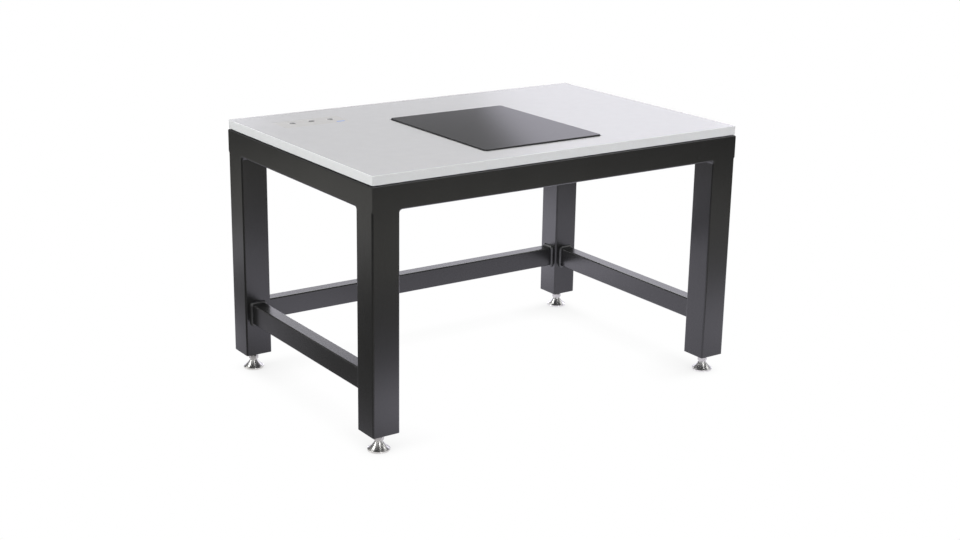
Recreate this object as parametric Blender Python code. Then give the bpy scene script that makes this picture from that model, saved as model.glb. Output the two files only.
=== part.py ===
"""Vibration isolation table: a welded steel table frame on levelling feet, a
laminate worktop with a cut-out, and an isolated platform that floats in the
cut-out on four spring-and-damper mounts.

Metres, +Z up, origin on the floor under the middle of the table.
+X runs along the long side, the open knee space faces -Y.
"""
import math

import bmesh
import bpy
from mathutils import Vector

for ob in list(bpy.data.objects):
    bpy.data.objects.remove(ob, do_unlink=True)

# ---------------------------------------------------------------- dimensions
GAP = 0.0003                      # clearance between pieces that touch

TABLE_W = 1.200                   # outside of the frame along X
TABLE_D = 0.800                   # outside of the frame along Y
TABLE_H = 0.740                   # floor to worktop surface

WORKTOP_T = 0.025
WORKTOP_INSET = 0.001             # frame stands this far outside the worktop
WORKTOP_ARRIS = 0.0014
WORKTOP_R = 0.005                 # rounding of the board's four upright corners
PAD_GAP = 0.0015                  # worktop underside to the top of the rails
PAD_W = 0.060
PAD_SETBACK = 0.006

RAIL_W = 0.080
RAIL_H = 0.068
RAIL_R = 0.005
RAIL_WALL = 0.004

LEG_W = 0.080
LEG_R = 0.005
LEG_WALL = 0.004
LEG_BOTTOM_Z = 0.052

STRETCHER_W = 0.040
STRETCHER_H = 0.060
STRETCHER_R = 0.004
STRETCHER_WALL = 0.003
STRETCHER_TOP_Z = 0.209

BEAM_W = 0.060
BEAM_H = 0.040
BEAM_R = 0.004
BEAM_WALL = 0.003
BEAM_DX = 0.140                   # beam centre to platform centre

PLATFORM_X = -0.010               # platform centre
PLATFORM_Y = -0.068
PLATFORM_W = 0.384
PLATFORM_D = 0.480
PLATFORM_T = 0.012
PLATFORM_PROUD = 0.004            # platform surface above the worktop
PLATFORM_R = 0.007
PLATFORM_CLEAR = 0.003            # gap round the platform in the cut-out

TRAY_W = 0.350
TRAY_D = 0.440
TRAY_T = 0.008
MOUNT_DX = 0.140                  # isolator centre to platform centre
MOUNT_DY = 0.180
CUP_R = 0.023
CUP_H = 0.014
CUP_WALL = 0.0025
CUP_FLOOR = 0.004
COIL_R = 0.017                    # spring mean radius
WIRE_R = 0.002
COIL_TURNS = 4.5
SEAT_R = 0.022
SEAT_T = 0.005
SPIGOT_R = 0.012
SPIGOT_H = 0.006
DAMPER_R = 0.010

FOOT_R = 0.030
FOOT_RIM = 0.0034
FOOT_H = 0.027                    # bell-shaped base
FOOT_NECK_R = 0.0108
SPINDLE_R = 0.008                 # M16 thread, outside radius
SPINDLE_TOP = 0.110
HEX_FLATS = 0.024
HEX_H = 0.012
SOCKET_R = 0.0065
SOCKET_Z = 0.012
FOOT_PLATE_T = 0.006
FOOT_BOSS_R = 0.014
FOOT_BOSS_TOP = 0.080

PANEL_X = -0.412                  # control strip centre
PANEL_Y = 0.252
PANEL_W = 0.204
PANEL_D = 0.088
PANEL_T = 0.002
PANEL_LIP = 0.005                 # strip rests this far on its housing and rabbet
KEY_X0 = -0.468
KEY_PITCH = 0.0595
KEY_Y = 0.260
KEY_R = 0.0075
KEY_FLANGE_R = 0.0098
KEY_PROUD = 0.0008
KEY_TRAVEL = 0.0008
LENS_X = -0.335
LENS_Y = 0.222
LENS_W = 0.025
LENS_D = 0.0065
HOUSING_BOTTOM_Z = 0.698
HOUSING_WALL = 0.002
BOARD_T = 0.0016

# ------------------------------------------------------------ derived heights
WORKTOP_Z = TABLE_H - WORKTOP_T
RAIL_TOP_Z = WORKTOP_Z - PAD_GAP
RAIL_BOTTOM_Z = RAIL_TOP_Z - RAIL_H
PLATFORM_TOP_Z = TABLE_H + PLATFORM_PROUD
PLATFORM_BOTTOM_Z = PLATFORM_TOP_Z - PLATFORM_T
BEAM_BOTTOM_Z = RAIL_BOTTOM_Z + 0.0005
TRAY_Z = BEAM_BOTTOM_Z + BEAM_H + GAP
CUP_Z = TRAY_Z + TRAY_T + GAP
SPRING_Z = CUP_Z + CUP_FLOOR + GAP
SEAT_TOP_Z = PLATFORM_BOTTOM_Z - GAP
SEAT_Z = SEAT_TOP_Z - SEAT_T - SPIGOT_H
SPRING_TOP_Z = SEAT_TOP_Z - SEAT_T - GAP
PANEL_Z = TABLE_H - PANEL_T
HOUSING_TOP_Z = PANEL_Z - GAP
BOARD_Z = TABLE_H - 0.022

# ------------------------------------------------------------------ materials
PALETTE = {
    "frame_black": ((0.020, 0.020, 0.022), 0.42, 0.0),
    "worktop_grey": ((0.62, 0.62, 0.63), 0.45, 0.0),
    "platform_black": ((0.018, 0.018, 0.019), 0.35, 0.0),
    "pad_rubber": ((0.015, 0.015, 0.015), 0.80, 0.0),
    "foot_steel": ((0.75, 0.75, 0.74), 0.12, 1.0),
    "plated_steel": ((0.55, 0.55, 0.56), 0.35, 1.0),
    "spring_steel": ((0.40, 0.40, 0.42), 0.30, 1.0),
    "damper_rubber": ((0.03, 0.03, 0.03), 0.75, 0.0),
    "panel_grey": ((0.60, 0.60, 0.58), 0.40, 0.0),
    "key_dark": ((0.10, 0.10, 0.10), 0.40, 0.0),
    "lens_blue": ((0.20, 0.38, 0.80), 0.20, 0.0),
    "board_green": ((0.02, 0.16, 0.06), 0.50, 0.0),
    "housing_black": ((0.03, 0.03, 0.03), 0.50, 0.0),
}


def material(name):
    mat = bpy.data.materials.get(name)
    if mat is None:
        colour, rough, metal = PALETTE[name]
        mat = bpy.data.materials.new(name)
        mat.use_nodes = True
        shader = mat.node_tree.nodes["Principled BSDF"]
        shader.inputs["Base Color"].default_value = (*colour, 1.0)
        shader.inputs["Roughness"].default_value = rough
        shader.inputs["Metallic"].default_value = metal
    return mat


# ------------------------------------------------------------- shape building
def rounded_rect(w, h, r, seg):
    """Corner-rounded rectangle about the origin, counter-clockwise."""
    pts = []
    for sx, sy, start in ((1, 1, 0), (-1, 1, 90), (-1, -1, 180), (1, -1, 270)):
        cx, cy = sx * (w / 2 - r), sy * (h / 2 - r)
        for k in range(seg + 1):
            a = math.radians(start + 90.0 * k / seg)
            pts.append((cx + r * math.cos(a), cy + r * math.sin(a)))
    return pts


def circle(r, n, turn=0.0):
    return [(r * math.cos(turn + 2 * math.pi * i / n),
             r * math.sin(turn + 2 * math.pi * i / n)) for i in range(n)]


def at_height(points, z):
    return [(x, y, z) for x, y in points]


def loft(loops, closed=False):
    """Skin a row of equal point loops. Open rows get end caps; a closed row
    joins its last loop to its first, as the wall of a tube does."""
    bm = bmesh.new()
    rows = [[bm.verts.new(p) for p in loop] for loop in loops]
    n = len(rows[0])
    follow = rows[1:] + ([rows[0]] if closed else [])
    for a, b in zip(rows, follow):
        for i in range(n):
            j = (i + 1) % n
            bm.faces.new((a[i], a[j], b[j], b[i]))
    if not closed:
        bm.faces.new(rows[0][::-1])
        bm.faces.new(rows[-1])
    bmesh.ops.recalc_face_normals(bm, faces=bm.faces)
    return bm


def turned(profile, n):
    """Solid of revolution about Z from (radius, height) pairs, capped."""
    return loft([at_height(circle(r, n), z) for r, z in profile])


def add(name, bm, mat, at=(0.0, 0.0, 0.0), parent=None, round_piece=False):
    mesh = bpy.data.meshes.new(name)
    bm.to_mesh(mesh)
    bm.free()
    mesh.materials.append(material(mat))
    if round_piece:
        mesh.shade_smooth()
        mesh.set_sharp_from_angle(angle=math.radians(35))
    ob = bpy.data.objects.new(name, mesh)
    bpy.context.scene.collection.objects.link(ob)
    ob.location = at
    ob.parent = parent
    return ob


def axis_empty(name, at):
    ob = bpy.data.objects.new(name, None)
    bpy.context.scene.collection.objects.link(ob)
    ob.location = at
    ob.empty_display_size = 0.02
    return ob


def cutter(name, bm, at=(0.0, 0.0, 0.0)):
    ob = add(name, bm, "pad_rubber", at)
    ob.hide_render = True
    ob.display_type = "WIRE"
    return ob


def cut(ob, tool):
    mod = ob.modifiers.new("cut_" + tool.name, "BOOLEAN")
    mod.operation = "DIFFERENCE"
    mod.object = tool


def tube(w, h, r, wall, length, seg=3):
    """Hollow rectangular tube along X, centred on the origin; w is along Y."""
    outer = rounded_rect(w, h, r, seg)
    inner = rounded_rect(w - 2 * wall, h - 2 * wall, max(r - wall, 0.0010), seg)
    a, b = -length / 2, length / 2
    return loft([[(a, y, z) for y, z in outer], [(b, y, z) for y, z in outer],
                 [(b, y, z) for y, z in inner], [(a, y, z) for y, z in inner]],
                closed=True)


def mitred_rail(length, place):
    """Rail with 45 degree ends. Local s runs along the rail, u in from its
    outer face, v up from its underside; place() maps them to the table."""
    def section(w, h, r, seg=4):
        return [(u + RAIL_W / 2, v + RAIL_H / 2)
                for u, v in rounded_rect(w, h, r, seg)]
    outer = section(RAIL_W, RAIL_H, RAIL_R)
    inner = section(RAIL_W - 2 * RAIL_WALL, RAIL_H - 2 * RAIL_WALL, 0.0012)
    g = GAP / 2 * math.sqrt(2.0)

    def end(points, side):
        return [place(side * (length / 2 - u - g), u, v) for u, v in points]
    return loft([end(outer, -1), end(outer, 1), end(inner, 1), end(inner, -1)],
                closed=True)


def rounded_plate(w, d, r, z0, z1, chamfer_top, chamfer_bottom, seg=3):
    loops = []
    if chamfer_bottom:
        c = chamfer_bottom
        loops.append(at_height(rounded_rect(w - 2 * c, d - 2 * c, r - c, seg), z0))
        loops.append(at_height(rounded_rect(w, d, r, seg), z0 + c))
    else:
        loops.append(at_height(rounded_rect(w, d, r, seg), z0))
    if chamfer_top:
        c = chamfer_top
        loops.append(at_height(rounded_rect(w, d, r, seg), z1 - c))
        loops.append(at_height(rounded_rect(w - 2 * c, d - 2 * c, r - c, seg), z1))
    else:
        loops.append(at_height(rounded_rect(w, d, r, seg), z1))
    return loft(loops)


def block(x0, x1, y0, y1, z0, z1):
    pts = [(x0, y0), (x1, y0), (x1, y1), (x0, y1)]
    return loft([at_height(pts, z0), at_height(pts, z1)])


def coil(mean_r, wire_r, turns, z0, z1, per_turn=12, sides=6):
    """Round wire wound into a compression spring between two heights."""
    steps = int(turns * per_turn)
    bottom, top = z0 + wire_r, z1 - wire_r
    rise = (top - bottom) / (2 * math.pi * turns)
    loops = []
    for i in range(steps + 1):
        a = 2 * math.pi * turns * i / steps
        centre = Vector((mean_r * math.cos(a), mean_r * math.sin(a), bottom + rise * a))
        out = Vector((math.cos(a), math.sin(a), 0.0))
        along = Vector((-mean_r * math.sin(a), mean_r * math.cos(a), rise)).normalized()
        up = along.cross(out)
        loops.append([tuple(centre + wire_r * (out * math.cos(t) + up * math.sin(t)))
                      for t in (2 * math.pi * k / sides for k in range(sides))])
    return loft(loops)


def stepped_plate(xs, ys, z0, top):
    """Plate on a grid of cells, each cell top(i, j) high, as one closed body."""
    bm = bmesh.new()
    pool = {}

    def vert(x, y, z):
        key = (round(x, 7), round(y, 7), round(z, 7))
        if key not in pool:
            pool[key] = bm.verts.new(key)
        return pool[key]
    nx, ny = len(xs) - 1, len(ys) - 1

    def height(i, j):
        return top(i, j) if 0 <= i < nx and 0 <= j < ny else z0
    for i in range(nx):
        for j in range(ny):
            corner = [(xs[i], ys[j]), (xs[i + 1], ys[j]),
                      (xs[i + 1], ys[j + 1]), (xs[i], ys[j + 1])]
            bm.faces.new([vert(x, y, height(i, j)) for x, y in corner])
            bm.faces.new([vert(x, y, z0) for x, y in corner[::-1]])
    for i in range(nx + 1):
        for j in range(ny):
            a, b = height(i - 1, j), height(i, j)
            if abs(a - b) > 1e-9:
                bm.faces.new([vert(xs[i], ys[j], a), vert(xs[i], ys[j + 1], a),
                              vert(xs[i], ys[j + 1], b), vert(xs[i], ys[j], b)])
    for j in range(ny + 1):
        for i in range(nx):
            a, b = height(i, j - 1), height(i, j)
            if abs(a - b) > 1e-9:
                bm.faces.new([vert(xs[i], ys[j], a), vert(xs[i + 1], ys[j], a),
                              vert(xs[i + 1], ys[j], b), vert(xs[i], ys[j], b)])
    bmesh.ops.recalc_face_normals(bm, faces=bm.faces)
    return bm


# -------------------------------------------------------------------- worktop
half_w, half_d = TABLE_W / 2, TABLE_D / 2
worktop = add("worktop",
              rounded_plate(TABLE_W - 2 * WORKTOP_INSET, TABLE_D - 2 * WORKTOP_INSET,
                            WORKTOP_R, WORKTOP_Z, TABLE_H, WORKTOP_ARRIS,
                            WORKTOP_ARRIS, 4), "worktop_grey")

hole_w = PLATFORM_W + 2 * PLATFORM_CLEAR
hole_d = PLATFORM_D + 2 * PLATFORM_CLEAR
cut(worktop, cutter("platform_cutout",
                    rounded_plate(hole_w, hole_d, PLATFORM_R + PLATFORM_CLEAR,
                                  WORKTOP_Z - 0.01, TABLE_H + 0.01, 0, 0),
                    (PLATFORM_X, PLATFORM_Y, 0)))
shaft_w, shaft_d = PANEL_W - 2 * PANEL_LIP, PANEL_D - 2 * PANEL_LIP
cut(worktop, cutter("control_shaft",
                    rounded_plate(shaft_w, shaft_d, 0.004,
                                  WORKTOP_Z - 0.01, TABLE_H + 0.01, 0, 0, 2),
                    (PANEL_X, PANEL_Y, 0)))
cut(worktop, cutter("control_rabbet",
                    rounded_plate(PANEL_W + 0.0008, PANEL_D + 0.0008, 0.0044,
                                  PANEL_Z - GAP, TABLE_H + 0.01, 0, 0, 2),
                    (PANEL_X, PANEL_Y, 0)))

# rubber strips that bed the worktop on the rails
pad_z0, pad_z1 = RAIL_TOP_Z + GAP, WORKTOP_Z - GAP
px, py = half_w - PAD_SETBACK, half_d - PAD_SETBACK
add("bedding_strip_front", block(-px, px, -py, -py + PAD_W, pad_z0, pad_z1), "pad_rubber")
add("bedding_strip_rear", block(-px, px, py - PAD_W, py, pad_z0, pad_z1), "pad_rubber")
side_y = py - PAD_W - GAP
add("bedding_strip_left", block(-px, -px + PAD_W, -side_y, side_y, pad_z0, pad_z1), "pad_rubber")
add("bedding_strip_right", block(px - PAD_W, px, -side_y, side_y, pad_z0, pad_z1), "pad_rubber")

# angle brackets on the inside of the rails, screwed up into the worktop
BRACKET_L, BRACKET_ARM, BRACKET_T = 0.040, 0.030, 0.003


def bracket(name, at, turn):
    """Angle with its upright against a rail: at is on the rail's inner face,
    turn is the direction, in degrees, that points in from the rail."""
    top = WORKTOP_Z - GAP
    shape = [(GAP, top - BRACKET_ARM), (GAP + BRACKET_T, top - BRACKET_ARM),
             (GAP + BRACKET_T, top - BRACKET_T), (GAP + BRACKET_ARM, top - BRACKET_T),
             (GAP + BRACKET_ARM, top), (GAP, top)]
    c, s = math.cos(math.radians(turn)), math.sin(math.radians(turn))
    loops = []
    for side in (-BRACKET_L / 2, BRACKET_L / 2):
        loops.append([(u * c - side * s, u * s + side * c, z) for u, z in shape])
    add(name, loft(loops), "plated_steel", (at[0], at[1], 0))


inner_x, inner_y = half_w - RAIL_W, half_d - RAIL_W
bracket("worktop_bracket_front", (0.360, -inner_y), 90)
bracket("worktop_bracket_rear", (0.360, inner_y), -90)
bracket("worktop_bracket_left", (-inner_x, -0.150), 0)
bracket("worktop_bracket_right", (inner_x, -0.150), 180)

# ---------------------------------------------------------------------- frame
z_rail = RAIL_BOTTOM_Z
add("rail_front", mitred_rail(TABLE_W, lambda s, u, v: (s, -half_d + u, z_rail + v)), "frame_black")
add("rail_rear", mitred_rail(TABLE_W, lambda s, u, v: (s, half_d - u, z_rail + v)), "frame_black")
add("rail_left", mitred_rail(TABLE_D, lambda s, u, v: (-half_w + u, s, z_rail + v)), "frame_black")
add("rail_right", mitred_rail(TABLE_D, lambda s, u, v: (half_w - u, s, z_rail + v)), "frame_black")

leg_top_z = RAIL_BOTTOM_Z - GAP
leg_outer = rounded_rect(LEG_W, LEG_W, LEG_R, 4)
leg_inner = rounded_rect(LEG_W - 2 * LEG_WALL, LEG_W - 2 * LEG_WALL, 0.0012, 4)
leg_x, leg_y = half_w - LEG_W / 2, half_d - LEG_W / 2
CORNERS = (("front_left", -leg_x, -leg_y), ("front_right", leg_x, -leg_y),
           ("rear_left", -leg_x, leg_y), ("rear_right", leg_x, leg_y))

plate_side = LEG_W - 2 * LEG_WALL - 0.0012
N_PLATE = 24


def square_loop(side, n):
    """n points round a square, one at each corner, matched to a circle's."""
    pts = []
    for i in range(n):
        a = 2 * math.pi * i / n
        k = side / 2 / max(abs(math.cos(a)), abs(math.sin(a)))
        pts.append((k * math.cos(a), k * math.sin(a)))
    return pts


for label, x, y in CORNERS:
    add("leg_" + label,
        loft([at_height(leg_outer, LEG_BOTTOM_Z), at_height(leg_outer, leg_top_z),
              at_height(leg_inner, leg_top_z), at_height(leg_inner, LEG_BOTTOM_Z)],
             closed=True), "frame_black", (x, y, 0))
    # plate welded into the leg's lower end, with the threaded boss of the foot
    z0 = LEG_BOTTOM_Z + 0.0005
    z1 = z0 + FOOT_PLATE_T
    square = square_loop(plate_side, N_PLATE)
    boss = circle(FOOT_BOSS_R, N_PLATE)
    hole = circle(SPINDLE_R + GAP, N_PLATE)
    add("foot_plate_" + label,
        loft([at_height(square, z0), at_height(square, z1), at_height(boss, z1),
              at_height(boss, FOOT_BOSS_TOP), at_height(hole, FOOT_BOSS_TOP),
              at_height(hole, z0)], closed=True), "plated_steel", (x, y, 0))

z_mid = STRETCHER_TOP_Z - STRETCHER_H / 2


def along_y(bm):
    for v in bm.verts:
        v.co = Vector((-v.co.y, v.co.x, v.co.z))
    bmesh.ops.recalc_face_normals(bm, faces=bm.faces)
    return bm


def stretcher(length):
    return tube(STRETCHER_W, STRETCHER_H, STRETCHER_R, STRETCHER_WALL, length)


add("stretcher_rear", stretcher(2 * inner_x - 2 * GAP), "frame_black", (0, leg_y, z_mid))
add("stretcher_left", along_y(stretcher(2 * inner_y - 2 * GAP)), "frame_black", (-leg_x, 0, z_mid))
add("stretcher_right", along_y(stretcher(2 * inner_y - 2 * GAP)), "frame_black", (leg_x, 0, z_mid))

# ------------------------------------------------- isolator carrier and mounts
for label, side in (("left", -1), ("right", 1)):
    add("isolator_beam_" + label,
        along_y(tube(BEAM_W, BEAM_H, BEAM_R, BEAM_WALL, 2 * inner_y - 2 * GAP)),
        "frame_black", (PLATFORM_X + side * BEAM_DX, 0, BEAM_BOTTOM_Z + BEAM_H / 2))

add("isolator_tray", rounded_plate(TRAY_W, TRAY_D, 0.006, TRAY_Z, TRAY_Z + TRAY_T, 0, 0, 2),
    "frame_black", (PLATFORM_X, PLATFORM_Y, 0))

platform_axis = axis_empty("platform_float_axis", (PLATFORM_X, PLATFORM_Y, 0))
add("platform", rounded_plate(PLATFORM_W, PLATFORM_D, PLATFORM_R, PLATFORM_BOTTOM_Z,
                              PLATFORM_TOP_Z, 0.0012, 0.0008, 4),
    "platform_black", parent=platform_axis)

for label, sx, sy in (("front_left", -1, -1), ("front_right", 1, -1),
                      ("rear_left", -1, 1), ("rear_right", 1, 1)):
    dx, dy = sx * MOUNT_DX, sy * MOUNT_DY
    x, y = PLATFORM_X + dx, PLATFORM_Y + dy
    add("isolator_cup_" + label,
        turned([(CUP_R, CUP_Z), (CUP_R, CUP_Z + CUP_H), (CUP_R - CUP_WALL, CUP_Z + CUP_H),
                (CUP_R - CUP_WALL, CUP_Z + CUP_FLOOR)], 20),
        "plated_steel", (x, y, 0), round_piece=True)
    add("isolator_spring_" + label,
        coil(COIL_R, WIRE_R, COIL_TURNS, SPRING_Z, SPRING_TOP_Z),
        "spring_steel", (x, y, 0), round_piece=True)
    damper_top = SEAT_Z - GAP
    add("isolator_damper_" + label,
        turned([(DAMPER_R, SPRING_Z), (DAMPER_R, SPRING_Z + 0.004),
                (DAMPER_R - 0.0015, (SPRING_Z + damper_top) / 2),
                (DAMPER_R, damper_top - 0.004), (DAMPER_R, damper_top)], 16),
        "damper_rubber", (x, y, 0), round_piece=True)
    add("isolator_seat_" + label,
        turned([(SPIGOT_R, SEAT_Z), (SPIGOT_R, SEAT_Z + SPIGOT_H),
                (SEAT_R, SEAT_Z + SPIGOT_H), (SEAT_R, SEAT_TOP_Z)], 20),
        "plated_steel", (dx, dy, 0), parent=platform_axis, round_piece=True)

# ------------------------------------------------------------- levelling feet
def bell_profile():
    """Bell-shaped foot: flat rim, concave flare up to a neck, blind socket."""
    flare_low, flare_high = FOOT_RIM + 0.0006, FOOT_H - 0.002
    pts = [(FOOT_R - 0.0014, 0.0), (FOOT_R, 0.0010), (FOOT_R, FOOT_RIM - 0.0006)]
    for k in range(7):
        z = flare_low + (flare_high - flare_low) * k / 6
        t = (flare_high - z) / (flare_high - flare_low)
        pts.append((FOOT_NECK_R + (FOOT_R - 0.001 - FOOT_NECK_R) * t ** 1.6, z))
    pts += [(FOOT_NECK_R, FOOT_H), (SOCKET_R, FOOT_H), (SOCKET_R, SOCKET_Z)]
    return pts


def spindle():
    """Ball end in the foot's socket, hexagon for the spanner, threaded stem."""
    n = 18
    hex_z0, hex_z1 = FOOT_H + GAP, FOOT_H + GAP + HEX_H
    tip = SOCKET_R - GAP

    def hexagon():
        pts = []
        for i in range(n):
            a = 2 * math.pi * i / n
            off = (a + math.pi / 6) % (math.pi / 3) - math.pi / 6
            k = HEX_FLATS / 2 / math.cos(off)
            pts.append((k * math.cos(a), k * math.sin(a)))
        return pts
    hexa = hexagon()
    return loft([at_height(circle(tip * 0.6, n), SOCKET_Z + GAP),
                 at_height(circle(tip, n), SOCKET_Z + 0.004),
                 at_height(circle(tip, n), hex_z0),
                 at_height(hexa, hex_z0), at_height(hexa, hex_z1),
                 at_height(circle(SPINDLE_R, n), hex_z1),
                 at_height(circle(SPINDLE_R, n), SPINDLE_TOP - 0.0015),
                 at_height(circle(SPINDLE_R - 0.0015, n), SPINDLE_TOP)])


for label, x, y in CORNERS:
    foot_axis = axis_empty("foot_axis_" + label, (x, y, 0))
    add("foot_base_" + label, turned(bell_profile(), 28), "foot_steel",
        parent=foot_axis, round_piece=True)
    add("foot_spindle_" + label, spindle(), "foot_steel",
        parent=foot_axis, round_piece=True)

# -------------------------------------------------------------- control strip
panel = add("control_panel",
            rounded_plate(PANEL_W, PANEL_D, 0.004, PANEL_Z, TABLE_H, 0, 0, 2),
            "panel_grey", (PANEL_X, PANEL_Y, 0))
key_x = [KEY_X0 + k * KEY_PITCH for k in range(3)]
for k, x in enumerate(key_x):
    cut(panel, cutter("key_hole_%d" % (k + 1),
                      turned([(KEY_R + GAP, PANEL_Z - 0.004), (KEY_R + GAP, TABLE_H + 0.004)], 20),
                      (x, KEY_Y, 0)))
slot_w, slot_d = LENS_W + 2 * GAP, LENS_D + 2 * GAP
cut(panel, cutter("lens_slot",
                  block(-slot_w / 2, slot_w / 2, -slot_d / 2, slot_d / 2,
                        PANEL_Z - 0.004, TABLE_H + 0.004), (LENS_X, LENS_Y, 0)))

switch_top = BOARD_Z + 0.0085
for k, x in enumerate(key_x):
    flange_top = PANEL_Z - GAP
    add("control_key_%d" % (k + 1),
        turned([(0.0030, switch_top + KEY_TRAVEL + GAP), (0.0030, flange_top - 0.0025),
                (KEY_FLANGE_R, flange_top - 0.0025), (KEY_FLANGE_R, flange_top),
                (KEY_R, flange_top), (KEY_R, TABLE_H + KEY_PROUD - 0.0004),
                (KEY_R - 0.0006, TABLE_H + KEY_PROUD)], 20),
        "key_dark", (x, KEY_Y, 0), round_piece=True)

led_top = BOARD_Z + 0.006
add("indicator_lens",
    rounded_plate(LENS_W, LENS_D, 0.0016, led_top + GAP, TABLE_H + 0.0003, 0.0003, 0, 2),
    "lens_blue", (LENS_X, LENS_Y, 0))

house_w, house_d = shaft_w - 0.002, shaft_d - 0.002
room_w, room_d = house_w - 2 * HOUSING_WALL, house_d - 2 * HOUSING_WALL
ledge_z = BOARD_Z - GAP
add("control_housing",
    loft([at_height(rounded_rect(house_w, house_d, 0.0035, 2), HOUSING_BOTTOM_Z),
          at_height(rounded_rect(house_w, house_d, 0.0035, 2), HOUSING_TOP_Z),
          at_height(rounded_rect(room_w, room_d, 0.0020, 2), HOUSING_TOP_Z),
          at_height(rounded_rect(room_w, room_d, 0.0020, 2), ledge_z),
          at_height(rounded_rect(room_w - 0.008, room_d - 0.008, 0.0020, 2), ledge_z),
          at_height(rounded_rect(room_w - 0.008, room_d - 0.008, 0.0020, 2),
                    HOUSING_BOTTOM_Z + HOUSING_WALL)]),
    "housing_black", (PANEL_X, PANEL_Y, 0))

# circuit board with a switch under each key and a light under the lens
bx, by = room_w / 2 - 0.0015, room_d / 2 - 0.0015
SWITCH = 0.006
xs = [PANEL_X - bx]
for x in key_x:
    xs += [x - SWITCH, x + SWITCH]
xs += [LENS_X - 0.004, LENS_X + 0.004, PANEL_X + bx]
ys = [PANEL_Y - by, LENS_Y - 0.0025, LENS_Y + 0.0025, KEY_Y - SWITCH, KEY_Y + SWITCH, PANEL_Y + by]


def board_height(i, j):
    if j == 3 and i in (1, 3, 5):
        return switch_top
    if j == 1 and i == 7:
        return led_top
    return BOARD_Z + BOARD_T


add("control_board", stepped_plate(xs, ys, BOARD_Z, board_height), "board_green")

# low-voltage inlet socket on the side of the housing, under the worktop
inlet = turned([(0.0058, 0.0), (0.0058, 0.010), (0.0032, 0.010), (0.0032, 0.002)], 16)
for v in inlet.verts:
    v.co = Vector((v.co.z, v.co.x, v.co.y))
bmesh.ops.recalc_face_normals(inlet, faces=inlet.faces)
add("power_inlet", inlet, "housing_black",
    (PANEL_X + house_w / 2 + GAP, PANEL_Y, HOUSING_BOTTOM_Z + 0.0085), round_piece=True)
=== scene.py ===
"""Looks of the vibration isolation table: powder-coated welded frame, light grey
laminate worktop, satin black floating platform and polished levelling feet, on a
plain white studio floor. Metres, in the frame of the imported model.
"""
import math

import bmesh
import bpy
from mathutils import Matrix, Vector

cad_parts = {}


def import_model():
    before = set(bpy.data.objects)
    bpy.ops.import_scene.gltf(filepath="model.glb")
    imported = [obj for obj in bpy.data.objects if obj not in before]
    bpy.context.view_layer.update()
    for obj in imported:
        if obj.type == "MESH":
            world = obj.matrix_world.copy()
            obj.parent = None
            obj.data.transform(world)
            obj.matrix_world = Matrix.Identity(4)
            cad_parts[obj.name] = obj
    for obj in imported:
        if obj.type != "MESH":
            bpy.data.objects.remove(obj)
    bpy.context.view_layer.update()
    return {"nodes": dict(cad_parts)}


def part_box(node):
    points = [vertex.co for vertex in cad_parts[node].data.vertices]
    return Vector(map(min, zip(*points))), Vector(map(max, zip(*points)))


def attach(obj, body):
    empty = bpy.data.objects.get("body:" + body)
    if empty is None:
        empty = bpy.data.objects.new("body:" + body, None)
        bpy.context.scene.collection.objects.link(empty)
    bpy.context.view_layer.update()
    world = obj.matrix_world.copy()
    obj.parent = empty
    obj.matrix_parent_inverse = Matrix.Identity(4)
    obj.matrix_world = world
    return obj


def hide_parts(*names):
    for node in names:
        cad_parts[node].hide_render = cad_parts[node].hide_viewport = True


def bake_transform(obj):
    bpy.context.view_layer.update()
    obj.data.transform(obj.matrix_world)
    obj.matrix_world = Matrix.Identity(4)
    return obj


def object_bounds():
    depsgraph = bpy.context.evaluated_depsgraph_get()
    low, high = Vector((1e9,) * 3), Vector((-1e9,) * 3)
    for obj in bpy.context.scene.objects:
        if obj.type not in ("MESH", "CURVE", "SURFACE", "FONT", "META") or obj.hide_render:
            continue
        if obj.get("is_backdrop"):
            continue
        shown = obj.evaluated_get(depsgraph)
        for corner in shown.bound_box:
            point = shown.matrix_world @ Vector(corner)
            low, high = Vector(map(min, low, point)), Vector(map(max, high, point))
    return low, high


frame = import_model()
nodes = frame["nodes"]
scene = bpy.context.scene

# ------------------------------------------------------------------ dimensions
HALF_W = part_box("rail_right")[1].x            # outside of the ring, X
HALF_D = -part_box("rail_front")[0].y           # outside of the ring, Y
RING_Z0, RING_Z1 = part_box("rail_front")[0].z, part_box("rail_front")[1].z
RAIL_W, RAIL_H = 0.080, RING_Z1 - RING_Z0
TUBE_R = 0.005                                # outer corner radius of ring and leg tubes
TUBE_WALL = 0.004
LEG_Z0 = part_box("leg_front_left")[0].z
LEG_W = 0.080
STRETCH_W, STRETCH_H = 0.040, 0.060
STRETCH_R, STRETCH_WALL = 0.004, 0.003
STRETCH_Z = (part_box("stretcher_rear")[0].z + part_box("stretcher_rear")[1].z) / 2
LEG_X, LEG_Y = HALF_W - LEG_W / 2, HALF_D - LEG_W / 2
IN_X, IN_Y = HALF_W - RAIL_W, HALF_D - RAIL_W
TOP_LOW, TOP_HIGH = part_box("worktop")
PLATE_LOW, PLATE_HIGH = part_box("platform")
PANEL_LOW, PANEL_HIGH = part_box("control_panel")
CORNERS = (("front_left", -1, -1), ("front_right", 1, -1),
           ("rear_left", -1, 1), ("rear_right", 1, 1))

FILLET = 0.009                                # inside weld between leg and ring
BEAD = 0.0052                                 # weld bead radius round a stretcher end
BEAD_PITCH = 0.0055                           # ripple pitch of a bead


# ------------------------------------------------------------------- materials
def noise_node(tree, vector, scale, detail=2.0, rough=0.5):
    node = tree.nodes.new("ShaderNodeTexNoise")
    node.inputs["Scale"].default_value = scale
    node.inputs["Detail"].default_value = detail
    node.inputs["Roughness"].default_value = rough
    tree.links.new(vector, node.inputs["Vector"])
    return node.outputs["Fac"]


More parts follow.
